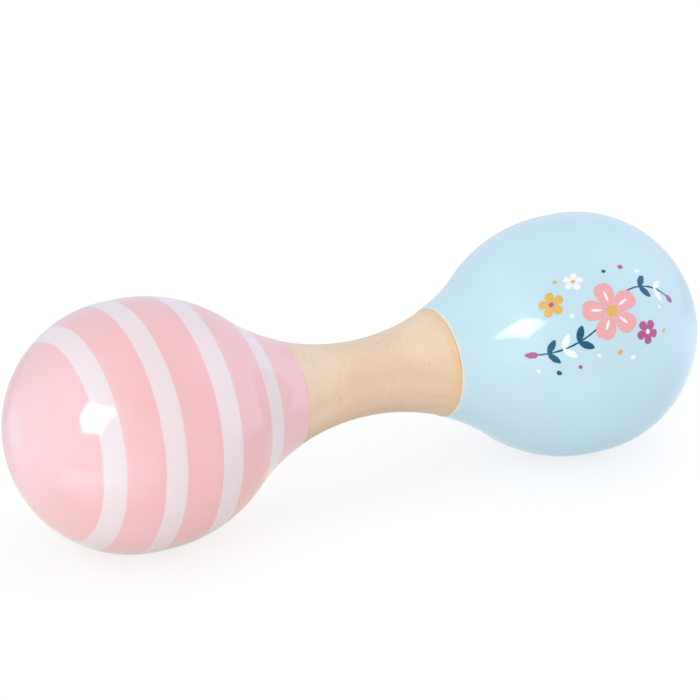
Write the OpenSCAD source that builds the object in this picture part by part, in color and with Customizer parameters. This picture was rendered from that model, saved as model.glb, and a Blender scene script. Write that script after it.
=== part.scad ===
// Double maraca: two hollow lacquered heads on one turned grip, each with loose shot sealed inside.
// It lies on its side: X runs along the grip with the blue head at +X, Z is up, and it rests on Z = 0.
// Profiles are drawn as [radius from the axis, distance along the axis from the middle of the grip].

/* [Overall] */
// Length over both heads
overall_l = 153; // [146:1:160]
// Diameter of each head, over the 44.5 mm ball of the toy gauge
head_d = 50; // [46:1:54]

/* [Handle] */
// Length of bare wood between the two painted heads
handle_l = 35; // [30:1:40]
// Diameter of the grip at its middle, for a small hand
waist_d = 15.5; // [14:0.5:18]
// Radius of the hollow that forms the grip
grip_r = 48; // [40:1:60]
// Diameter of the tenon on each end of the handle
tenon_d = 12; // [9:0.5:14]
// Length of each tenon
tenon_l = 14; // [9:0.5:15]
// Chamfer that leads each tenon into its socket
tenon_chamfer = 1; // [0.4:0.1:1.6]

/* [Heads] */
// Straight band round each head, between crown and shoulder
band_w = 2.5; // [1:0.5:4]
// Radius of the shoulder that falls from the band towards the neck
shoulder_r = 31; // [28:1:34]
// Wall round the chamber at its thinnest
wall = 5; // [4:0.5:7]
// Length of the lip that joins the neck half to the crown
lip_l = 3; // [2:0.5:4]
// Thickness of that lip at its root
lip_t = 2.4; // [1.6:0.1:3]
// Lacquer on the heads, which stands proud of the bare wood
lacquer_t = 0.15; // [0.05:0.05:0.3]
// Gap that glue fills round each tenon and lip
glue_gap = 0.1; // [0.05:0.05:0.2]

/* [Stripes] */
// Distance from the tip of the pink head to the middle of each white stripe
stripe_at = [11.5, 22.7, 35.3, 48.9]; // [8:0.1:54]
// Width of each stripe along the axis
stripe_w = [3.8, 4.4, 4.9, 4.2]; // [2:0.1:6]

/* [Shot] */
// Diameter of one ball of shot
shot_d = 5; // [4:0.5:6]
// Least room between a ball and its neighbours or the chamber
shot_gap = 0.3; // [0.2:0.1:0.6]

/* [Hidden] */
// One ball lies in the middle of the chamber floor and the rest in a ring round it
ring_count = 7;
shot_count = ring_count + 1;

// The two ends of the X axis
pink_side = -1;
blue_side = 1;

// How far a cut runs past the face that it opens
cut = 1;
// How far two tangent curves cross, so that they meet in one clean edge
curve_cross = 0.0005;

head_r = head_d / 2;
waist_r = waist_d / 2;
tenon_r = tenon_d / 2;
shot_r = shot_d / 2;

// Stations along the axis, from the middle of the grip outwards
mouth_s = handle_l / 2;
tenon_end_s = mouth_s + tenon_l;
tip_s = overall_l / 2;
crown_s = tip_s - head_r;
shoulder_s = crown_s - band_w;

// The grip is one arc, and the neck carries its slope on to touch the shoulder's arc
grip_centre = [waist_r + grip_r, 0];
handle_end = [grip_centre.x - sqrt(grip_r ^ 2 - mouth_s ^ 2), mouth_s];
mouth_normal = (grip_centre - handle_end) / grip_r;
mouth = handle_end + [lacquer_t, 0];
shoulder_centre = [head_r - shoulder_r, shoulder_s];
to_mouth = mouth - shoulder_centre;
neck_r = (to_mouth * to_mouth - shoulder_r ^ 2) / (2 * (shoulder_r - mouth_normal * to_mouth));
neck_centre = mouth + mouth_normal * neck_r;
neck_join = shoulder_centre + (neck_centre - shoulder_centre) * shoulder_r / (shoulder_r + neck_r);

// The chamber is a ball hollow, centred where the crown meets the band
chamber_r = head_r - wall;
lip_r = chamber_r + lip_t;

// Resting places of the shot on the chamber floor
ring_r = (shot_d + shot_gap) / (2 * sin(180 / ring_count));
path_r = chamber_r - shot_r - shot_gap;

bare_wood = [0.88, 0.74, 0.56];
pink_lacquer = [0.95, 0.72, 0.72];
blue_lacquer = [0.69, 0.82, 0.88];
white_lacquer = [0.95, 0.93, 0.93];
steel = [0.66, 0.67, 0.69];

function shot_name(head, i) = str(head, "_shot_", i);

// Place of ball i over the chamber floor: the middle one first, then the ring
function shot_place(i) = i == 0 ? [0, 0] : ring_r * [cos(360 * i / ring_count), sin(360 * i / ring_count)];

// Turns a profile about the lying axis, pointing towards one end
module turned(side) {
    translate([0, 0, head_r])
        rotate([0, 90 * side, 0])
            rotate_extrude()
                children();
}

// Grip between the mouths of the heads, with both tenons
module handle_profile() {
    difference() {
        translate([0, -mouth_s])
            square([grip_centre.x, 2 * mouth_s]);
        translate(grip_centre)
            circle(grip_r);
    }
    polygon([
        [0, -tenon_end_s],
        [tenon_r - tenon_chamfer, -tenon_end_s],
        [tenon_r, -tenon_end_s + tenon_chamfer],
        [tenon_r, tenon_end_s - tenon_chamfer],
        [tenon_r - tenon_chamfer, tenon_end_s],
        [0, tenon_end_s]
    ]);
}

module chamber_profile() {
    translate([0, crown_s])
        circle(chamber_r);
}

// Band, shoulder and neck of a head, as a solid
module neck_form() {
    translate([0, shoulder_s])
        square([head_r, band_w]);
    intersection() {
        translate(shoulder_centre)
            circle(shoulder_r);
        translate([0, mouth_s])
            square([head_r, shoulder_s - mouth_s]);
    }
    difference() {
        translate([0, mouth_s])
            square([neck_join.x, neck_join.y - mouth_s]);
        translate(neck_centre)
            circle(neck_r + curve_cross);
    }
}

// Neck half: the socket for the tenon opens into the chamber, and a lip stands up round its rim
module neck_half_profile() {
    difference() {
        union() {
            neck_form();
            translate([0, shoulder_s])
                square([lip_r, band_w + lip_l]);
        }
        chamber_profile();
        translate([0, mouth_s - cut])
            square([tenon_r + glue_gap, crown_s - mouth_s + cut]);
    }
}

// Crown: half a ball, hollowed, with a rebate that takes the lip
module crown_profile() {
    difference() {
        intersection() {
            translate([0, crown_s])
                circle(head_r);
            translate([0, crown_s])
                square(head_r);
        }
        chamber_profile();
        translate([0, crown_s - cut])
            square([lip_r + glue_gap, lip_l + glue_gap + cut]);
    }
}

module stripe_bands() {
    for (k = [0 : len(stripe_at) - 1])
        translate([0, tip_s - stripe_at[k] - stripe_w[k] / 2])
            square([head_r, stripe_w[k]]);
}

// Turns a profile in pink with white rings of lacquer
module striped_turned(side) {
    color(pink_lacquer)
        turned(side)
            difference() {
                children();
                stripe_bands();
            }
    color(white_lacquer)
        turned(side)
            intersection() {
                children();
                stripe_bands();
            }
}

module handle() {
    color(bare_wood)
        turned(blue_side)
            handle_profile();
}

module pink_neck_half() {
    striped_turned(pink_side)
        neck_half_profile();
}

module pink_crown() {
    striped_turned(pink_side)
        crown_profile();
}

module blue_neck_half() {
    color(blue_lacquer)
        turned(blue_side)
            neck_half_profile();
}

module blue_crown() {
    color(blue_lacquer)
        turned(blue_side)
            crown_profile();
}

// One loose ball where it lies on the chamber floor
module shot(side, i) {
    place = shot_place(i);
    color(steel)
        translate([side * crown_s + place.x, place.y, head_r - sqrt(path_r ^ 2 - place * place)])
            sphere(shot_r);
}

handle();
pink_neck_half();
pink_crown();
blue_neck_half();
blue_crown();
for (i = [0 : shot_count - 1]) {
    shot(pink_side, i);
    shot(blue_side, i);
}
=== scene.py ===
# %% [markdown]
# # A double maraca
# A double maraca is a shaker for small hands: a hollow round head on each end of a bare wooden grip.
# Each head is two turned shells, glued at a seam and dipped in gloss lacquer, with loose steel shot
# sealed inside. One head has white stripes on pink, and the other has a printed sprig on pale blue.
#
# The solid model is loaded first and is never moved. It says where every piece lies, so what is made
# here is measured from it and needs no fitting by eye.

# %% Load the solid model
import math

import bpy
from mathutils import Matrix, Vector


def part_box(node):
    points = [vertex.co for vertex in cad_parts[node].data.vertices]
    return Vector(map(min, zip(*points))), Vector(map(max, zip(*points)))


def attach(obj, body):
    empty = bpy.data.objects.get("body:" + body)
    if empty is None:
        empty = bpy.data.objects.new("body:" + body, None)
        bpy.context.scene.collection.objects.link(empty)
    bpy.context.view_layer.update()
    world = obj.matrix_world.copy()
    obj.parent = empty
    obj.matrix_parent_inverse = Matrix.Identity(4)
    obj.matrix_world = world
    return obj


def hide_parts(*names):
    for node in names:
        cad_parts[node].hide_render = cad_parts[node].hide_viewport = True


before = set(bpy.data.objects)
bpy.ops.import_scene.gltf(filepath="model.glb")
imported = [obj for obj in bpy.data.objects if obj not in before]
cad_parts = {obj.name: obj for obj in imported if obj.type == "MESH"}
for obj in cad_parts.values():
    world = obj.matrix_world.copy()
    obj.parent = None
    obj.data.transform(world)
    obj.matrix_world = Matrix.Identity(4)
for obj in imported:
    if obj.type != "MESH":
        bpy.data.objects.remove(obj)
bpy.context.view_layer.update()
MM = 0.001

# %% [markdown]
# ## Sizes
# A turner measures along the axis of the work and outwards from it. The axis here is X, and the boxes
# of the solids give the ends of each piece. The few radii that a box can't show are written out once.

# %% Measure the turned pieces
crown_low, crown_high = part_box("blue_crown")
neck_low, neck_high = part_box("blue_neck_half")
grip_low, grip_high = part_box("handle")

axis_z = (crown_low.z + crown_high.z) / 2
tip = crown_high.x
seam = crown_low.x
head_r = tip - seam
mouth = neck_low.x
lip_l = neck_high.x - seam
tenon_end = grip_high.x
grip_end_r = (grip_high.z - grip_low.z) / 2

grip_r = 48 * MM
shoulder_r = 31 * MM
band_w = 2.5 * MM
wall = 5 * MM
lip_t = 2.4 * MM
tenon_r = 6 * MM
tenon_chamfer = 1 * MM
glue_gap = 0.1 * MM
lacquer_t = 0.15 * MM

chamber_r = head_r - wall
lip_r = chamber_r + lip_t
waist_r = grip_end_r - grip_r + math.sqrt(grip_r ** 2 - mouth ** 2)
print("head radius %.2f mm, waist radius %.2f mm" % (head_r / MM, waist_r / MM))

# %% [markdown]
# ## Outlines
# The outside of a head is a chain of curves that run into each other without a corner: a neck that
# carries on the slope of the grip, a round shoulder, a short straight band and half a ball. Drawing it
# as arcs keeps the lacquer's reflections smooth, which a hand-placed row of points would not.

# %% Draw arcs and straight runs as pairs of (along the axis, out from it)
CURVE_STEP = 0.5 * MM
SEAM_STEP = 0.03 * MM


def arc(centre, radius, start, end):
    """Points along an arc between two angles."""
    count = max(2, math.ceil(abs(end - start) * radius / CURVE_STEP))
    step = (end - start) / count
    return [centre + radius * Vector((math.cos(start + step * k), math.sin(start + step * k)))
            for k in range(count + 1)]


def run(first, last):
    """Points along a straight line."""
    first, last = Vector(first), Vector(last)
    count = max(1, math.ceil((last - first).length / CURVE_STEP))
    return [first.lerp(last, k / count) for k in range(count + 1)]


def chain(*stretches):
    """Joins stretches into one outline and drops the points where two of them meet."""
    points = []
    for point in (p for stretch in stretches for p in stretch):
        if not points or (point - points[-1]).length > SEAM_STEP / 10:
            points.append(point)
    return points


QUARTER = math.pi / 2
print("a quarter of a head takes", len(arc(Vector((0, 0)), head_r, 0, QUARTER)), "points")

# %% Work out the outside of a head
grip_centre = Vector((0, waist_r + grip_r))
grip_end = Vector((mouth, grip_end_r))
mouth_rim = grip_end + Vector((0, lacquer_t))
mouth_normal = (grip_centre - grip_end) / grip_r
shoulder_centre = Vector((seam - band_w, head_r - shoulder_r))
to_mouth = mouth_rim - shoulder_centre
neck_r = (to_mouth.length_squared - shoulder_r ** 2) / (2 * (shoulder_r - mouth_normal.dot(to_mouth)))
neck_centre = mouth_rim + mouth_normal * neck_r
lean = neck_centre - shoulder_centre
join_angle = math.atan2(lean.y, lean.x)
mouth_angle = math.atan2(-mouth_normal.y, -mouth_normal.x)
ball_centre = Vector((seam, 0))
seam_angle = SEAM_STEP / head_r

neck_outside = chain(
    arc(neck_centre, neck_r, mouth_angle, join_angle - math.pi),
    arc(shoulder_centre, shoulder_r, join_angle, QUARTER),
    run((seam - band_w, head_r), (seam, head_r)),
)
crown_outside = chain(
    arc(ball_centre, head_r, QUARTER, QUARTER - seam_angle),
    arc(ball_centre, head_r, QUARTER - seam_angle, 0),
)
print("neck curve radius %.1f mm" % (neck_r / MM), len(neck_outside), len(crown_outside), "points")

# %% [markdown]
# ## Shader sums
# A finish is worked out from where a point lies on the piece. The class below wraps one socket of a
# node tree, so a mask such as `1 - stripe` is written as a sum and adds its Math nodes by itself. Every
# other node comes from its one method, `node`.

# %% Wrap a socket
class Signal:
    """One socket of a node tree, or the bare tree where a finish starts."""

    def __init__(self, tree, socket=None):
        self.tree = tree
        self.socket = socket

    def node(self, kind, settings=(), sockets=(), output=0):
        """Adds a node, sets it up, feeds its sockets and returns one of its outputs."""
        made = self.tree.nodes.new(kind)
        for name, value in dict(settings).items():
            setattr(made, name, value)
        for name, value in dict(sockets).items():
            if isinstance(value, Signal):
                self.tree.links.new(value.socket, made.inputs[name])
            else:
                made.inputs[name].default_value = value
        return Signal(self.tree, made.outputs[output] if made.outputs else None)

    def math(self, operation, *values):
        """A sum on values."""
        return self.node("ShaderNodeMath", {"operation": operation}, enumerate(values))

    def vector_math(self, operation, *values, output="Vector"):
        """A sum on places or colours."""
        return self.node("ShaderNodeVectorMath", {"operation": operation}, enumerate(values), output)

    def axis(self, letter):
        """One coordinate of a place."""
        return self.node("ShaderNodeSeparateXYZ", {}, {"Vector": self}, letter)

    def __add__(self, other):
        return self.math("ADD", self, other)

    __radd__ = __add__

    def __sub__(self, other):
        return self.math("SUBTRACT", self, other)

    def __rsub__(self, other):
        return self.math("SUBTRACT", other, self)

    def __mul__(self, other):
        return self.math("MULTIPLY", self, other)

    __rmul__ = __mul__

    def __abs__(self):
        return self.math("ABSOLUTE", self)

    def rise(self, low, high):
        """Goes smoothly from 0 to 1 as this value goes from low to high."""
        sockets = {"Value": self, "From Min": low, "From Max": high}
        return self.node("ShaderNodeMapRange", {"interpolation_type": "SMOOTHSTEP"}, sockets)

    def blend(self, first, second):
        """Mixes two colours, with this value as the share of the second."""
        sockets = {0: self, 6: first, 7: second}
        return self.node("ShaderNodeMix", {"data_type": "RGBA"}, sockets, output=2)

    def tint(self, first, second):
        """Adds this share of a second colour to the first."""
        return self.vector_math("MULTIPLY_ADD", self, second, first)


# %% Start a finish
def screen(red, green, blue):
    """A colour as a screen shows it, 0 to 255, in the linear light that shaders use."""
    shares = (v / 255 for v in (red, green, blue))
    return tuple(v / 12.92 if v <= 0.04045 else ((v + 0.055) / 1.055) ** 2.4 for v in shares) + (1,)


def new_finish(name):
    """An empty material, and the signal that its nodes start from."""
    material = bpy.data.materials.new(name)
    material.use_nodes = True
    material.node_tree.nodes.clear()
    return material, Signal(material.node_tree)


def on_piece(start):
    """Where a point lies on its piece."""
    return start.node("ShaderNodeTexCoord", output="Object")


print("middle grey on a screen is %.3f in linear light" % screen(128, 128, 128)[0])

# %% Grain, relief and the closing shader
def grain(place, size, detail=2.0, stretch=(1, 1, 1), shift=(0, 0, 0)):
    """Noise from 0 to 1 whose lumps are about the given size, drawn out along each axis by stretch."""
    scale = [1 / (size * s) for s in stretch]
    moved = place.node("ShaderNodeMapping", {}, {"Vector": place, "Location": shift, "Scale": scale})
    return place.node("ShaderNodeTexNoise", {}, {"Vector": moved, "Scale": 1.0, "Detail": detail})


def close_finish(start, sockets):
    """Ends a finish in one surface shader, fed by the named sockets."""
    shader = start.node("ShaderNodeBsdfPrincipled", {}, sockets)
    start.node("ShaderNodeOutputMaterial", {}, {"Surface": shader})


def relief(start, height):
    """Turns a height in metres into a bent normal."""
    sockets = {"Strength": 1.0, "Distance": 1.0, "Height": height}
    return start.node("ShaderNodeBump", {}, sockets, output="Normal")


# %% [markdown]
# ## Bare wood
# The grip is pale, close-grained wood, sanded on the lathe and waxed. Growth rings cross it as soft wide
# bands, fibres run along it, sanding leaves short dashes round it, and a few pores show as dots. Next to
# the blue head a narrow ring has taken up sealer and is warmer. The underside is a shade darker with
# painted shade, and the upper side a shade paler with painted light. All of it is low in contrast.
# A picture of wood would need a file and would meet itself in a seam, so the finish uses noise that is
# drawn out along the axis and runs through the piece as real grain does.

# %% Growth of the wood, with painted shade and light
HEART_OF_TREE = Vector((0, 60, -45)) * MM
RING_PITCH = 3.2 * MM
# Rings in a metre where a wave texture's scale is 1
WAVE_TURNS = 20 / (2 * math.pi)
DULL_WOOD = screen(222, 185, 150)
PALE_WOOD = screen(238, 211, 182)
# Colour of the painted shade on the underside
PAINTED_SHADE_WOOD = screen(206, 168, 130)


def growth(place, fibres):
    """Colour of the wood, with painted shade on the underside and painted light on the upper side."""
    along = place.axis("X")
    above_axis = place.axis("Z") - axis_z
    from_heart = place.node("ShaderNodeMapping", {}, {"Vector": place, "Location": -HEART_OF_TREE})
    rings = place.node(
        "ShaderNodeTexWave",
        {"wave_type": "RINGS", "rings_direction": "X"},
        {"Vector": from_heart, "Scale": 1 / (RING_PITCH * WAVE_TURNS), "Distortion": 3.0, "Detail": 2.0,
         "Detail Scale": 0.6},
        output="Fac",
    )
    cloud = grain(place, 9 * MM, detail=2, stretch=(1.6, 1, 1), shift=(0.4, 0, 0))
    pink_end = along.rise(-3 * MM, -13 * MM)
    blue_end = along.rise(3 * MM, 13 * MM)
    ends = pink_end * 0.25 + blue_end * 0.08
    # Painted light pales the upper side and painted shade darkens the underside
    painted_light_above = above_axis.rise(2.5 * MM, 7 * MM) * (0.24 + blue_end * 0.16)
    painted_shade_below = above_axis.rise(-1 * MM, -8 * MM) * (0.58 - blue_end * 0.36)
    tone = rings * 0.18 + fibres * 0.30 + cloud * 0.50 + ends + painted_light_above + 0.01
    return painted_shade_below.blend(tone.blend(DULL_WOOD, PALE_WOOD), PAINTED_SHADE_WOOD)


print("growth rings %.1f mm apart" % (RING_PITCH / MM))

# %% Sealer next to the blue head
SEALED_W = 1.4 * MM
SEALED_SLANT = 0.03
SEALER = screen(234, 180, 114)
GLUE = screen(196, 148, 102)


def sealed_ring(place, colour):
    """Adds the warm ring that took up sealer, and the line of glue at its edge."""
    along = place.axis("X")
    above_axis = place.axis("Z") - axis_z
    wander = (grain(place, 3 * MM, detail=2, shift=(6, 0, 0)) - 0.5) * SEALED_W
    uneven = along + above_axis * SEALED_SLANT + wander
    soaked = uneven.rise(mouth - 1.4 * SEALED_W, mouth - 0.4 * SEALED_W)
    patchy = grain(place, 1.6 * MM, detail=2, stretch=(0.4, 2, 2), shift=(0, 7, 3))
    kept = 1 - above_axis.rise(0, -8 * MM) * 0.6
    stain = soaked * (0.16 + patchy * 0.4) * kept
    glue_line = along.rise(mouth - 0.28 * MM, mouth - 0.12 * MM) * above_axis.rise(0, 3 * MM)
    return (glue_line * 0.35).blend(stain.blend(colour, SEALER), GLUE)


print("sealed ring about %.1f mm wide" % (SEALED_W / MM))

# %% Dashes, scratches and pores
PORE_SPACING = 5.5 * MM
DASH = screen(200, 160, 126)
SCRATCH = screen(246, 226, 202)
PORE = screen(182, 118, 92)


def wood_marks(place):
    """Masks of the dark dashes and pale scratches that sanding leaves, and of the pores."""
    clusters = grain(place, 4 * MM, detail=1, shift=(1, 2, 0)).rise(0.44, 0.62)
    dashes = grain(place, 0.40 * MM, detail=1, stretch=(0.7, 5, 5), shift=(0, 3, 1)).rise(0.60, 0.70)
    scratches = grain(place, 0.34 * MM, detail=1, stretch=(0.8, 5, 5), shift=(4, 0, 2)).rise(0.62, 0.72)
    cells = place.node("ShaderNodeTexVoronoi", {}, {"Vector": place, "Scale": 1 / PORE_SPACING}, "Distance")
    return dashes * clusters, scratches * clusters, 1 - cells.rise(0.035, 0.065)


print("pores about %.1f mm apart" % (PORE_SPACING / MM))

# %% Bare wood finish
def bare_wood(name, sealed):
    """Sanded wood, with the sealed ring where it shows."""
    material, wood = new_finish(name)
    place = on_piece(wood)
    fibres = grain(place, 0.5 * MM, detail=3, stretch=(26, 1, 1))
    colour = growth(place, fibres)
    if sealed:
        colour = sealed_ring(place, colour)
    dashes, scratches, pores = wood_marks(place)
    colour = (dashes * 0.26).blend(colour, DASH)
    colour = (scratches * 0.34).blend(colour, SCRATCH)
    colour = (pores * 0.6).blend(colour, PORE)
    height = fibres * 6e-6 - dashes * 5e-6 + scratches * 3e-6 - pores * 3e-5
    close_finish(wood, {
        "Base Color": colour,
        "Roughness": 0.34 + fibres * 0.2,
        "Normal": relief(wood, height),
    })
    print(name, "has", len(material.node_tree.nodes), "nodes")
    return material


grip_wood = bare_wood("waxed_wood", sealed=True)
raw_wood = bare_wood("raw_wood", sealed=False)

# %% [markdown]
# ## Lacquer
# Each head is dipped, so its colour is even, but a dipped coat is never flat: it has slow waves and a
# fine orange peel that bend the edges of a highlight. Stripes are brushed on while the head spins, so
# their edges wander a little and stand a hair above the pink. At the mouth the coat thins here and there
# to a pale line, more so on the blue head. The stripes could be rings of mesh, but as masks along the
# axis they leave the skin whole, so reflections cross them unbroken.

# %% Lacquer finish
STRIPE_SOFT = 0.15 * MM
PRIMER = screen(238, 226, 200)
SPECK = screen(255, 255, 255)


def lacquer(name, first, second, rim, stripes=(), stripe_colour=None):
    """Gloss lacquer that drifts between two close colours, worn at its rim, with stripes painted on."""
    material, paint = new_finish(name)
    place = on_piece(paint)
    along = place.axis("X")

    drift = grain(place, 14 * MM, detail=2)
    waves = grain(place, 7 * MM, detail=1, shift=(2, 0, 5))
    peel = grain(place, 1.3 * MM, detail=2, shift=(0, 4, 0))
    specks = grain(place, 0.25 * MM, detail=0, shift=(7, 0, 0)).rise(0.74, 0.82)
    colour = drift.rise(0.3, 0.7).blend(first, second)
    height = waves * 6e-5 + peel * 3e-6

    if stripes:
        wander = along + (grain(place, 9 * MM, detail=2, shift=(0, 0, 9)) - 0.5) * (0.25 * MM)
        painted = 0
        for middle, width in stripes:
            from_edge = width / 2 - abs(wander - middle)
            painted = painted + from_edge.rise(-STRIPE_SOFT, STRIPE_SOFT)
        streaks = grain(place, 0.8 * MM, detail=2, stretch=(0.5, 8, 8), shift=(3, 3, 3))
        coat = painted * (0.90 + streaks * 0.12)
        colour = coat.blend(colour, stripe_colour)
        height = height + painted * 1.5e-5

    uneven = (grain(place, 2 * MM, detail=1, shift=(1, 6, 2)) - 0.5) * (0.6 * MM)
    from_mouth = abs(along) - mouth + uneven
    worn = grain(place, 2.4 * MM, detail=1, shift=(5, 1, 8)).rise(0.35, 0.65)
    thin = (1 - from_mouth.rise(0.10 * MM, 0.90 * MM)) * (0.25 + worn * 0.55) * rim
    colour = thin.blend(colour, PRIMER)
    colour = (specks * 0.10).blend(colour, SPECK)
    close_finish(paint, {
        "Base Color": colour,
        "Roughness": 0.07 + peel * 0.06 + specks * 0.1,
        "Normal": relief(paint, height),
    })
    return material


# %% Paint for the two heads
STRIPE_FROM_TIP = [11.5, 22.7, 35.3, 48.9]
STRIPE_WIDTH = [3.8, 4.4, 4.9, 4.2]
stripes = [(-tip + at * MM, wide * MM) for at, wide in zip(STRIPE_FROM_TIP, STRIPE_WIDTH)]
PINKS = screen(242, 189, 191), screen(244, 194, 197)
BLUES = screen(196, 225, 236), screen(198, 227, 240)
STRIPE_WHITE = screen(236, 222, 225)
PINK_RIM_WEAR = 0.2
BLUE_RIM_WEAR = 1.0
pink_paint = lacquer("pink_lacquer", *PINKS, PINK_RIM_WEAR, stripes, STRIPE_WHITE)
blue_paint = lacquer("blue_lacquer", *BLUES, BLUE_RIM_WEAR)
print("stripes at", [round(middle / MM, 1) for middle, width in stripes], "mm")

# %% [markdown]
# ## Turned pieces
# All five wooden pieces come off a lathe, so they are made as on one. A plane is merged to a single
# point, the point is extruded along the outline, and Spin carries that chain once round the axis.
# Merging doubles closes the last step on the first, and only then are the normals turned outwards.
# A Screw modifier could make the same turn, but Spin leaves real faces at once, so a single rim can be
# picked out and eased.

# %% Turn an outline about the long axis
SPIN_STEPS = 200
MERGE = 0.001 * MM


def draw_chain(name, path):
    """A new mesh, left in edit mode, whose vertices follow the path."""
    bpy.ops.object.select_all(action="DESELECT")
    bpy.ops.mesh.primitive_plane_add(size=MM, location=path[0])
    piece = bpy.context.object
    piece.name = name
    bpy.ops.object.transform_apply()
    bpy.ops.object.mode_set(mode="EDIT")
    bpy.ops.mesh.select_all(action="SELECT")
    bpy.ops.mesh.merge(type="CENTER")
    for here, there in zip(path, path[1:]):
        bpy.ops.mesh.extrude_vertices_move(TRANSFORM_OT_translate={"value": there - here})
    bpy.ops.mesh.select_all(action="SELECT")
    return piece


def turn(name, outline, side):
    """A solid of turned wood, towards one end of the toy."""
    piece = draw_chain(name, [Vector((side * p.x, 0, axis_z + p.y)) for p in outline])
    bpy.ops.mesh.spin(steps=SPIN_STEPS, angle=2 * math.pi, center=(0, 0, axis_z), axis=(1, 0, 0))
    bpy.ops.mesh.select_all(action="SELECT")
    bpy.ops.mesh.remove_doubles(threshold=MERGE)
    bpy.ops.mesh.normals_make_consistent(inside=False)
    bpy.ops.object.mode_set(mode="OBJECT")
    return piece


# %% Ease a rim
RIM_STEPS = 3


def radius_at(place):
    """How far a place is from the long axis."""
    return math.hypot(place.y, place.z - axis_z)


def round_rim(piece, along, out, size):
    """Rounds the edge that lies at one place of the outline."""
    bpy.ops.object.mode_set(mode="EDIT")
    bpy.ops.mesh.select_all(action="DESELECT")
    bpy.ops.object.mode_set(mode="OBJECT")
    near = 2 * MERGE
    for vertex in piece.data.vertices:
        vertex.select = abs(vertex.co.x - along) < near and abs(radius_at(vertex.co) - out) < near
    bpy.ops.object.mode_set(mode="EDIT")
    bpy.ops.mesh.select_mode(type="VERT")
    bpy.ops.mesh.bevel(offset=size, segments=RIM_STEPS, affect="EDGES")
    bpy.ops.object.mode_set(mode="OBJECT")


# %% Finish a turned piece
SMOOTH_UP_TO = math.radians(35)


def finish_turned(piece, *materials, skin=lambda place: True):
    """Smooths a turned piece, and gives its skin the first material and the rest the second."""
    for material in materials:
        piece.data.materials.append(material)
    for facet in piece.data.polygons:
        facet.material_index = 0 if skin(facet.center) else 1
    bpy.ops.object.shade_smooth_by_angle(angle=SMOOTH_UP_TO)
    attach(piece, "maraca")
    print(piece.name, len(piece.data.polygons), "faces")


# %% [markdown]
# ### The handle
# One piece of wood makes the grip and both tenons. Its ends are eased a little where they meet the
# lacquer, which leaves the fine groove that shows at both joints. Bump in the finish could hint at it,
# but a bevelled edge also holds in close views.

# %% Turn the handle
HANDLE_RIM = 0.12 * MM
half_sweep = math.asin(mouth / grip_r)
tenon_outline = [
    Vector((tenon_end, 0)),
    Vector((tenon_end, tenon_r - tenon_chamfer)),
    Vector((tenon_end - tenon_chamfer, tenon_r)),
    Vector((mouth, tenon_r)),
]
grip_arc = arc(grip_centre, grip_r, -QUARTER - half_sweep, -QUARTER + half_sweep)
handle_outline = [Vector((-p.x, p.y)) for p in tenon_outline] + grip_arc + tenon_outline[::-1]

handle = turn("turned_handle", handle_outline, 1)
for end in (-mouth, mouth):
    round_rim(handle, end, grip_end_r, HANDLE_RIM)
finish_turned(handle, grip_wood)
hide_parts("handle")

# %% [markdown]
# ### The heads
# A head can't be hollowed through its narrow neck, so it is turned as two shells. The neck half has the
# socket for the tenon and a lip, the crown has a rebate that takes the lip, and both are bare wood
# inside. Only the outside is lacquered, so faces are sorted by how close they lie to the outline.

# %% Outlines of the two shells
socket_r = tenon_r + glue_gap
rebate_depth = lip_l + glue_gap

neck_half_outline = chain(
    neck_outside,
    [Vector((seam, lip_r)), Vector((seam + lip_l, lip_r))],
    arc(ball_centre, chamber_r, math.acos(lip_l / chamber_r), math.pi - math.asin(socket_r / chamber_r)),
    [Vector((mouth, socket_r)), mouth_rim],
)
crown_outline = chain(
    crown_outside[::-1],
    [Vector((seam, lip_r + glue_gap)), Vector((seam + rebate_depth, lip_r + glue_gap))],
    arc(ball_centre, chamber_r, math.acos(rebate_depth / chamber_r), 0),
)
print("outlines of", len(neck_half_outline), "and", len(crown_outline), "points")

# %% Tell the lacquered skin from bare wood
NECK_SKIN = 0.6 * MM
CROWN_SKIN = 0.1 * MM


def on_neck_skin(place):
    """True on the lacquered outside of a neck half."""
    along, out = abs(place.x), radius_at(place)
    nearest = min(neck_outside, key=lambda p: abs(p.x - along))
    return out > nearest.y - NECK_SKIN and mouth + MERGE < along < seam - MERGE


def on_crown_skin(place):
    """True on the lacquered outside of a crown."""
    along = abs(place.x)
    from_middle = math.hypot(along - seam, radius_at(place))
    return from_middle > head_r - CROWN_SKIN and along > seam + MERGE


# %% Turn both heads
NECK_RIM = 0.10 * MM
for colour, side, paint in (("pink", -1, pink_paint), ("blue", 1, blue_paint)):
    neck_half = turn(colour + "_neck_shell", neck_half_outline, side)
    round_rim(neck_half, side * mouth, mouth_rim.y, NECK_RIM)
    finish_turned(neck_half, paint, raw_wood, skin=on_neck_skin)
    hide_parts(colour + "_neck_half")
    colour + "_lacquer"

    crown = turn(colour + "_crown_shell", crown_outline, side)
    finish_turned(crown, paint, raw_wood, skin=on_crown_skin)
    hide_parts(colour + "_crown")
    colour + "_lacquer"

# %% [markdown]
# ## The printed sprig
# The blue head has a small print on the side that faces out: a sprig with a pink blossom, leaves, buds
# and a scatter of dots. It is pad printed, so each ink is a film that follows the curve of the head.
# Each shape is drawn flat from a formula, moved over the head and shrunk on to it, then given a
# thickness. A mask in the lacquer could show it too, but a film keeps a crisp edge at any size.

# %% Inks
def ink(name, colour, fleck):
    """Printing ink with the fine flecks of a pad print."""
    material, film = new_finish(name)
    place = on_piece(film)
    flecks = grain(place, 0.22 * MM, detail=1).rise(0.52, 0.70)
    patches = grain(place, 2.2 * MM, detail=2, shift=(5, 0, 0))
    shade = (flecks * 0.35 + patches * 0.15).blend(colour, fleck)
    close_finish(film, {
        "Base Color": shade,
        "Roughness": 0.16 + flecks * 0.12,
        "Normal": relief(film, flecks * 3e-6),
    })
    return material


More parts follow.
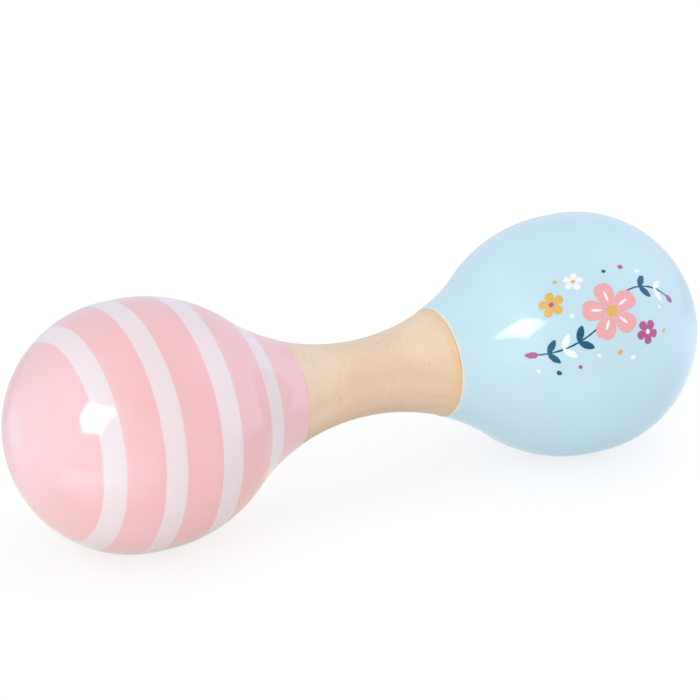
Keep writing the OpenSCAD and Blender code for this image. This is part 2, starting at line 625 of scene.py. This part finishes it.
INKS = {
    "pink": ink("pink_ink", screen(240, 168, 172), screen(246, 196, 198)),
    "white": ink("white_ink", screen(244, 245, 244), screen(228, 238, 243)),
    "teal": ink("teal_ink", screen(22, 92, 122), screen(48, 116, 142)),
    "mustard": ink("mustard_ink", screen(228, 180, 84), screen(238, 204, 132)),
    "magenta": ink("magenta_ink", screen(178, 84, 138), screen(204, 128, 170)),
}
print("inks:", ", ".join(INKS))

# %% The head's outside as a form to print on
print_form = turn("print_form", chain(neck_outside, crown_outside), 1)
print_form.hide_render = True

PRINT_AT = 43.5 * MM
PRINT_TURN = math.radians(28)
nearest = min(range(len(neck_outside)), key=lambda k: abs(neck_outside[k].x - PRINT_AT))
spot = neck_outside[nearest]
slope = (neck_outside[nearest + 1] - neck_outside[nearest - 1]).normalized()
outwards = Vector((0, -math.cos(PRINT_TURN), math.sin(PRINT_TURN)))
print_right = Vector((slope.x, 0, 0)) + slope.y * outwards
print_out = Vector((-slope.y, 0, 0)) + slope.x * outwards
print_up = print_out.cross(print_right)
LIFT = 2 * MM
print_spot = Vector((spot.x, 0, axis_z)) + spot.y * outwards + LIFT * print_out
print_axes = Matrix((print_right, print_up, print_out)).transposed()
print_frame = Matrix.Translation(print_spot) @ print_axes.to_4x4()
print("print centred at", [round(v / MM, 1) for v in print_spot])

# %% Print one flat shape on the head
FILM = 0.06 * MM
LAYER = 0.02 * MM
printed = []


def press(shape, colour, layer):
    """Moves a flat shape over the head, shrinks it on to the surface and gives it its film of ink."""
    bpy.ops.object.mode_set(mode="OBJECT")
    shape.matrix_world = print_frame
    bpy.ops.object.transform_apply()
    wrap = shape.modifiers.new("wrap", "SHRINKWRAP")
    wrap.target = print_form
    wrap.wrap_method = "NEAREST_SURFACEPOINT"
    wrap.wrap_mode = "ABOVE_SURFACE"
    wrap.offset = layer * LAYER
    bpy.ops.object.modifier_apply(modifier=wrap.name)
    film = shape.modifiers.new("film", "SOLIDIFY")
    film.thickness = FILM
    film.offset = 0
    bpy.ops.object.modifier_apply(modifier=film.name)
    bpy.ops.object.mode_set(mode="EDIT")
    bpy.ops.mesh.select_all(action="SELECT")
    bpy.ops.mesh.normals_make_consistent(inside=False)
    bpy.ops.object.mode_set(mode="OBJECT")
    shape.data.materials.append(INKS[colour])
    printed.append(shape)


def print_patch(outline, colour, rings=4, layer=1):
    """Prints a closed outline, filled by drawing it in towards its middle ring by ring."""
    middle = sum(outline, Vector((0, 0))) / len(outline)
    path = [Vector((p.x, p.y, 0)) for p in outline + outline[:1]]
    shape = draw_chain("ink_patch", path)
    bpy.ops.mesh.remove_doubles(threshold=MERGE)
    for ring in range(rings, 1, -1):
        bpy.ops.mesh.extrude_edges_move()
        share = (ring - 1) / ring
        bpy.ops.transform.resize(value=(share, share, 1), center_override=(middle.x, middle.y, 0))
    bpy.ops.mesh.extrude_edges_move()
    bpy.ops.mesh.merge(type="CENTER")
    press(shape, colour, layer)


def print_stroke(path, across, colour):
    """Prints a stroke, as a flat nib makes it when it is drawn along a path."""
    shape = draw_chain("ink_stroke", [Vector((p.x - across.x / 2, p.y - across.y / 2, 0)) for p in path])
    bpy.ops.mesh.extrude_edges_move(TRANSFORM_OT_translate={"value": (across.x, across.y, 0)})
    press(shape, colour, 0)


# %% [markdown]
# Petals, leaves and dots are all ovals. A petal is wider at its outer end and has a small notch there,
# and a leaf is drawn in to a point at both ends. The sprig is laid out in millimetres, with the curve
# of its stem as an arc, so leaves can be set along it in pairs.

# %% Ovals and dots
NOTCH_POWER = 14


def oval(middle, angle, length, width, points=40, wide_end=0.0, notch=0.0, pointed=1.0):
    """An outline round a middle, with its length turned to an angle."""
    heading = Vector((math.cos(angle), math.sin(angle)))
    beside = Vector((-heading.y, heading.x))
    outline = []
    for k in range(points):
        swing = 2 * math.pi * k / points
        forward, sideways = math.cos(swing), math.sin(swing)
        ahead = forward - notch * max(0, forward) ** NOTCH_POWER
        sideways = math.copysign(abs(sideways) ** pointed, sideways) * (1 + wide_end * forward)
        outline.append((middle + heading * (ahead * length / 2) + beside * (sideways * width / 2)) * MM)
    return outline


def dot(middle, size, colour, layer=1):
    """A round spot of ink."""
    print_patch(oval(Vector(middle), 0, size, size, points=20), colour, rings=2, layer=layer)


# %% Blossoms, whose parts are shares of their size
PETALS = 5
PETAL_OUT = 0.29
PETAL_LONG = 0.42
PETAL_FILL = 0.96
VEIN_OUT = 0.25
VEIN_LONG = 0.19
VEIN_WIDE = 0.045
HEART_WIDE = 0.19


def blossom(middle, size, colour, heart, turned_by, veined=False):
    """A ring of petals round a heart, and on a large blossom a pale vein in each petal."""
    middle = Vector(middle)
    petal_w = 2 * math.sin(math.pi / PETALS) * PETAL_OUT * size * PETAL_FILL
    for k in range(PETALS):
        angle = math.radians(turned_by) + 2 * math.pi * k / PETALS
        heading = Vector((math.cos(angle), math.sin(angle)))
        at = middle + heading * PETAL_OUT * size
        petal = oval(at, angle, PETAL_LONG * size, petal_w, wide_end=0.22, notch=0.10)
        print_patch(petal, colour, layer=2)
        if veined:
            at = middle + heading * VEIN_OUT * size
            vein = oval(at, angle, VEIN_LONG * size, VEIN_WIDE * size, points=20, pointed=1.4)
            print_patch(vein, "white", rings=2, layer=3)
    dot(middle, HEART_WIDE * size, heart, layer=3)


# %% Leaves and stems
STEM_STEP = 0.8


def leaf(root, angle, length, width, colour):
    """A pointed leaf that starts at its root."""
    heading = Vector((math.cos(angle), math.sin(angle)))
    middle = Vector(root) + heading * length / 2
    print_patch(oval(middle, angle, length, width, points=32, pointed=1.6), colour)


def stem_arc(middle, radius, start, end):
    """Points of a stem in millimetres, and the heading at each."""
    count = max(4, math.ceil(abs(math.radians(end - start)) * radius / STEM_STEP))
    angles = [math.radians(start + (end - start) * k / count) for k in range(count + 1)]
    way = math.copysign(QUARTER, end - start)
    return [(Vector(middle) + radius * Vector((math.cos(a), math.sin(a))), a + way) for a in angles]


# %% Lay out the sprig
NIB = Vector((0.10, 0.45)) * MM
LEAF_LEAN = math.radians(48)
LEAF_SIZE = (3.9, 1.7)
LEAF_COLOURS = ("teal", "white")
left_stem = stem_arc((-14.0, 20.0), 25.0, 265, 310)
right_stem = stem_arc((11.5, -7.0), 13.0, 118, 50)
for stem, pairs in ((left_stem, (0.12, 0.32, 0.52)), (right_stem, (0.40, 0.70))):
    print_stroke([point * MM for point, heading in stem], NIB, "teal")
    for k, share in enumerate(pairs):
        point, heading = stem[round(share * (len(stem) - 1))]
        for lean_by in (LEAF_LEAN, -LEAF_LEAN):
            leaf(point, heading + lean_by, *LEAF_SIZE, LEAF_COLOURS[k % 2])

blossom((2.8, 1.6), 13.6, "pink", "mustard", turned_by=96, veined=True)
blossom((-10.2, 6.2), 6.4, "mustard", "magenta", turned_by=20)
blossom((10.6, -4.8), 6.0, "magenta", "white", turned_by=50)
blossom((-3.8, 10.4), 5.0, "white", "mustard", turned_by=0)
leaf(left_stem[0][0], left_stem[0][1] + math.pi, 3.4, 1.8, "magenta")
leaf(right_stem[-1][0], right_stem[-1][1], 3.0, 1.8, "magenta")
DOT_SIZES = (1.0, 1.3)
DOTS = {
    "white": ((-6.2, 2.4), (12.8, 10.4), (-2.0, -7.6), (-17.4, -9.4), (15.8, 0.4), (6.2, -10.0)),
    "mustard": ((-8.0, 11.6), (3.0, -8.0), (16.0, -5.6)),
    "teal": ((4.2, 11.4), (-12.2, -10.4)),
    "magenta": ((-6.8, -9.6), (8.6, 12.0)),
}
for colour, middles in DOTS.items():
    for k, middle in enumerate(middles):
        dot(middle, DOT_SIZES[k % 2], colour)
print(len(printed), "shapes printed")

# %% Join the shapes into one print
bpy.ops.object.select_all(action="DESELECT")
for shape in printed:
    shape.select_set(True)
bpy.context.view_layer.objects.active = printed[0]
bpy.ops.object.join()
sprig = bpy.context.object
sprig.name = "sprig_print"
bpy.ops.object.shade_smooth_by_angle(angle=SMOOTH_UP_TO)
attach(sprig, "maraca")
bpy.data.objects.remove(print_form)
print(sprig.name, len(sprig.data.polygons), "faces in", len(sprig.data.materials), "inks")

# %% [markdown]
# ## Shot
# The shot is hardened steel, tumbled bright and then scuffed by rolling on wood. It is shut in and is
# seen only when the heads are opened or cut, so the solids stay as they are and get a finish.

# %% Steel finish
steel, metal = new_finish("tumbled_steel")
place = on_piece(metal)
scuffs = grain(place, 0.12 * MM, detail=2, stretch=(1, 9, 1)).rise(0.5, 0.75)
clouds = grain(place, 1.6 * MM, detail=2)
close_finish(metal, {
    "Base Color": clouds.blend(screen(176, 178, 182), screen(198, 200, 204)),
    "Metallic": 1.0,
    "Roughness": 0.16 + scuffs * 0.2,
    "Normal": relief(metal, scuffs * 1e-6),
})
shot = [solid for name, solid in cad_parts.items() if "_shot_" in name]
for ball in shot:
    ball.data.materials.clear()
    ball.data.materials.append(steel)
print(len(shot), "balls of shot")

# %% [markdown]
# ## Studio
# The toy was photographed in a white tent, so light comes from all round and shadows are faint. A big
# soft lamp low on the left does most of the work, with a little help from overhead and the right. The
# floor is white to the camera and still takes the toy's soft shadow. A picture of a studio could light
# it all, but that needs a file, and a tent is simple to build.

# %% Tent
TENT_LIGHT = 0.75
TENT_TINT = (0.96, 0.985, 1.0, 1)
WHITE = (1, 1, 1, 1)
scene = bpy.context.scene
scene.view_settings.view_transform = "Standard"
world = bpy.data.worlds.new("tent")
scene.world = world
world.use_nodes = True
world.node_tree.nodes.clear()
tent = Signal(world.node_tree)


def seen_directly(start):
    """1 for rays from the camera, a mirror or a clear piece, and 0 for light that falls on things."""
    camera = start.node("ShaderNodeLightPath", output="Is Camera Ray")
    glossy = start.node("ShaderNodeLightPath", output="Is Glossy Ray")
    clear = start.node("ShaderNodeLightPath", output="Is Transmission Ray")
    return start.math("MINIMUM", camera + glossy + clear, 1.0)


seen = seen_directly(tent)
backdrop = tent.node("ShaderNodeBackground", {}, {
    "Color": seen.blend(TENT_TINT, WHITE),
    "Strength": TENT_LIGHT + seen * (1 - TENT_LIGHT),
})
tent.node("ShaderNodeOutputWorld", {}, {"Surface": backdrop})
print("tent light", TENT_LIGHT)

# %% [markdown]
# What the lacquer mirrors is a matter of its own. The tent is bright at both ends of the toy and cooler on
# the right, and behind the camera it opens on a dim room, so the end of the pink crown is pale while the
# middle of each head keeps its full colour. The floor carries on the tent's walls, and close to the toy it
# has its own light: a pool on the left, and a shade in front. All of it is seen only in reflections.

# %% What the lacquer mirrors
BACK_WALL = (0.82, 0.95, 1.20)
TO_LEFT = (0.50, 1.20, 1.68)
TO_RIGHT = (0.38, 0.38, 0.70)
TO_CEILING = (-0.50, -0.60, -0.68)
TO_DIM_ROOM = (-0.64, -0.82, -1.05)
DARKEST = (0.08, 0.08, 0.08)


def towards(place, direction):
    """How nearly a place lies in one direction: 1 when it is straight ahead."""
    unit = place.vector_math("NORMALIZE", place)
    return place.vector_math("DOT_PRODUCT", unit, Vector(direction).normalized(), output="Value")


def tent_glow(place):
    """Light of the tent, by the direction in which a place lies."""
    glow = towards(place, (-1, 0, 0)).rise(0.02, 1.0).tint(BACK_WALL, TO_LEFT)
    glow = towards(place, (0.93, -0.25, 0.26)).rise(0.70, 0.98).tint(glow, TO_RIGHT)
    glow = towards(place, (0, 0, 1)).rise(0.73, 1.0).tint(glow, TO_CEILING)
    glow = towards(place, (0.0, -0.88, 0.47)).rise(0.31, 0.97).tint(glow, TO_DIM_ROOM)
    return place.vector_math("MAXIMUM", glow, DARKEST)


print("the back wall glows at", BACK_WALL)

# %% Light of the floor
LAMPLIT = (0.24, 0.24, 0.24)
UNDER_PINK = (0.70, 0.72, 0.56)
TO_UNDER_BLUE = (0.00, 0.08, 0.30)
TO_FRONT = (-0.38, -0.46, -0.34)
TO_FAR_LEFT = (0.60, 0.81, 1.39)
BEHIND_TOY = (0.56, 0.58, 0.64, 1)
POOL_AT = Vector((-116, -34, 0)) * MM
TO_POOL = (1.4, 1.5, 1.7)
DARK = (0, 0, 0)


def floor_glow(place):
    """Light of the floor, less what the lamps give it: its own near the toy, the tent's far away."""
    along = place.axis("X")
    across = place.axis("Y")
    reach = place.vector_math("LENGTH", place, output="Value")
    from_pool = place.vector_math("DISTANCE", place, POOL_AT, output="Value")
    far_left = along.rise(-45 * MM, -160 * MM)
    in_front = across.rise(7 * MM, -44 * MM) * (1 - far_left)
    right_of_pink = (along + across * 0.2).rise(-115 * MM, -60 * MM)
    behind = right_of_pink * across.rise(0, 60 * MM) * reach.rise(30 * MM, 70 * MM)
    tent_wall = place.vector_math("SUBTRACT", tent_glow(place), LAMPLIT)

    glow = along.rise(-8 * MM, 15 * MM).tint(UNDER_PINK, TO_UNDER_BLUE)
    glow = in_front.tint(glow, TO_FRONT)
    glow = far_left.tint(glow, TO_FAR_LEFT)
    glow = reach.rise(70 * MM, 150 * MM).blend(glow, tent_wall)
    glow = behind.blend(glow, BEHIND_TOY)
    glow = from_pool.rise(36 * MM, 14 * MM).tint(glow, TO_POOL)
    return place.vector_math("MAXIMUM", glow, DARK)


print("pool of light at", [round(v / MM) for v in POOL_AT], "mm")

# %% Floor
FLOOR_SIZE = 4.0
FLOOR_CUTS = 7
PAPER = (0.84, 0.83, 0.83, 1)
SEEN_DULL = (0.28, 0.28, 0.28, 1)
SEEN_PALE = (0.29, 0.29, 0.29, 1)
SEEN_GLOW = (0.76, 0.76, 0.76, 1)
NO_GLOW = (0, 0, 0, 1)
bpy.ops.object.select_all(action="DESELECT")
bpy.ops.mesh.primitive_plane_add(size=FLOOR_SIZE)
floor = bpy.context.object
floor.name = "floor"
bpy.ops.object.mode_set(mode="EDIT")
bpy.ops.mesh.subdivide(number_cuts=FLOOR_CUTS)
bpy.ops.object.mode_set(mode="OBJECT")
paper, sheet = new_finish("white_paper")
seen = seen_directly(sheet)
place = on_piece(sheet)
tooth = grain(place, 3 * MM, detail=2)
mirrored = sheet.node("ShaderNodeLightPath", output="Is Glossy Ray")
close_finish(sheet, {
    "Base Color": seen.blend(PAPER, tooth.blend(SEEN_DULL, SEEN_PALE)),
    "Roughness": 0.9,
    "Specular IOR Level": 0.0,
    "Emission Color": seen.blend(NO_GLOW, mirrored.blend(SEEN_GLOW, floor_glow(place))),
    "Emission Strength": 1.0,
})
floor.data.materials.append(paper)
print("floor", FLOOR_SIZE, "m wide with", len(floor.data.polygons), "faces")

# %% Lamps
LAMP_SIZE = 0.9
LAMP_DISTANCE = 1.1


def face(piece, aim, direction, distance):
    """Sets a lamp or the umbrella at a distance from what it looks at."""
    heading = Vector(direction).normalized()
    piece.location = aim + heading * distance
    piece.rotation_euler = heading.to_track_quat("Z", "Y").to_euler()


def soft_lamp(name, direction, power, colour):
    """A large round lamp that looks at the middle of the toy and leaves no mark in the lacquer."""
    data = bpy.data.lights.new(name, "AREA")
    data.shape = "DISK"
    data.size = LAMP_SIZE
    data.energy = power
    data.color = colour
    piece = bpy.data.objects.new(name, data)
    scene.collection.objects.link(piece)
    piece.visible_glossy = False
    face(piece, Vector((0, 0, axis_z)), direction, LAMP_DISTANCE)
    print(name, power, "W")


soft_lamp("left_lamp", (-0.80, -0.55, 0.12), 6.2, (0.97, 1.0, 0.94))
soft_lamp("overhead_lamp", (0.35, 0.15, 0.92), 1.84, (0.98, 0.96, 1.0))
soft_lamp("right_lamp", (0.75, -0.60, 0.28), 1.75, (0.97, 0.93, 1.0))

# %% [markdown]
# Two more stage pieces carry that light: a dome for the walls of the tent, and an umbrella on the left. The
# umbrella makes the star on the pink crown and the streak where the blue neck turns from hollow to round.

# %% Tent walls
TENT_RADIUS = 8.0


def only_mirrored(piece, material, start, colour):
    """Makes a stage piece glow, for reflections alone."""
    shader = start.node("ShaderNodeEmission", {}, {"Color": colour, "Strength": 1.0})
    start.node("ShaderNodeOutputMaterial", {}, {"Surface": shader})
    piece.data.materials.append(material)
    for ray in ("camera", "diffuse", "shadow", "transmission", "volume_scatter"):
        setattr(piece, "visible_" + ray, False)


bpy.ops.object.select_all(action="DESELECT")
bpy.ops.mesh.primitive_uv_sphere_add(segments=48, ring_count=24, radius=TENT_RADIUS)
walls = bpy.context.object
walls.name = "tent_walls"
cloth, weave = new_finish("tent_cloth")
place = on_piece(weave)
only_mirrored(walls, cloth, weave, tent_glow(place))
print("tent walls with", len(walls.data.polygons), "faces")

# %% Umbrella
UMBRELLA_AT = Vector((-0.776, -0.418, 0.472))
UMBRELLA_DISTANCE = 6.0
SILK_DULL = (11, 11, 11, 1)
SILK_BRIGHT = (14, 14, 14, 1)
SILK_FADED = (6, 6, 6, 1)
FADE_FROM = 0.5
FADE_TO = 1.9
FOLD = 0.4
# Corners of the silk, in degrees to the right of its middle and up from it
UMBRELLA_EDGE = [
    (19, 10.5), (13, 12), (6, 11), (-1, 10), (-5.5, 11.5), (-9.5, 11.5), (-11, 5), (-13.3, -2), (-12, -7),
    (-10, -12), (-8, -15), (-4, -15.5), (0, -14.5), (4, -14.5), (9.5, -13.5), (10, -6), (12, -1), (15, 2.5),
    (18.5, 6.5),
]


def silk_corner(right, up):
    """A corner of the silk, laid out flat."""
    return Vector((math.tan(math.radians(right)), math.tan(math.radians(up)), 0)) * UMBRELLA_DISTANCE


edge = [silk_corner(right, up) for right, up in UMBRELLA_EDGE]
umbrella = draw_chain("umbrella", edge + edge[:1])
bpy.ops.mesh.remove_doubles(threshold=MERGE)
bpy.ops.mesh.edge_face_add()
bpy.ops.object.mode_set(mode="OBJECT")
silk, glow = new_finish("umbrella_silk")
place = on_piece(glow)
folds = grain(place, FOLD, detail=1).blend(SILK_DULL, SILK_BRIGHT)
faded = place.axis("X").rise(FADE_FROM, FADE_TO)
only_mirrored(umbrella, silk, glow, faded.blend(folds, SILK_FADED))
face(umbrella, Vector((-seam, 0, axis_z)), UMBRELLA_AT, UMBRELLA_DISTANCE)
print("umbrella with", len(umbrella.data.vertices), "corners and", len(umbrella.data.polygons), "face")

# %% [markdown]
# ## Camera
# The outline of both heads and the two joints fix where the camera stood: a long lens, a little above
# the toy and round towards its pink end.

# %% Camera
VIEW_TURN = math.radians(-29.483)
VIEW_RISE = math.radians(21.5)
VIEW_DISTANCE = 826.66 * MM
VIEW_TARGET = Vector((-2.133 * MM, 0, axis_z + 6.526 * MM))
SENSOR = 36.0
FOCAL_PIXELS = 4131.9
IMAGE_PIXELS = 700

away = Vector((
    math.sin(VIEW_TURN) * math.cos(VIEW_RISE),
    -math.cos(VIEW_TURN) * math.cos(VIEW_RISE),
    math.sin(VIEW_RISE),
))
camera_data = bpy.data.cameras.new("camera")
camera_data.sensor_width = SENSOR
camera_data.lens = FOCAL_PIXELS / IMAGE_PIXELS * SENSOR
camera = bpy.data.objects.new("camera", camera_data)
scene.collection.objects.link(camera)
camera.location = VIEW_TARGET + away * VIEW_DISTANCE
camera.rotation_euler = away.to_track_quat("Z", "Y").to_euler()
scene.camera = camera
print("lens %.1f mm" % camera_data.lens)
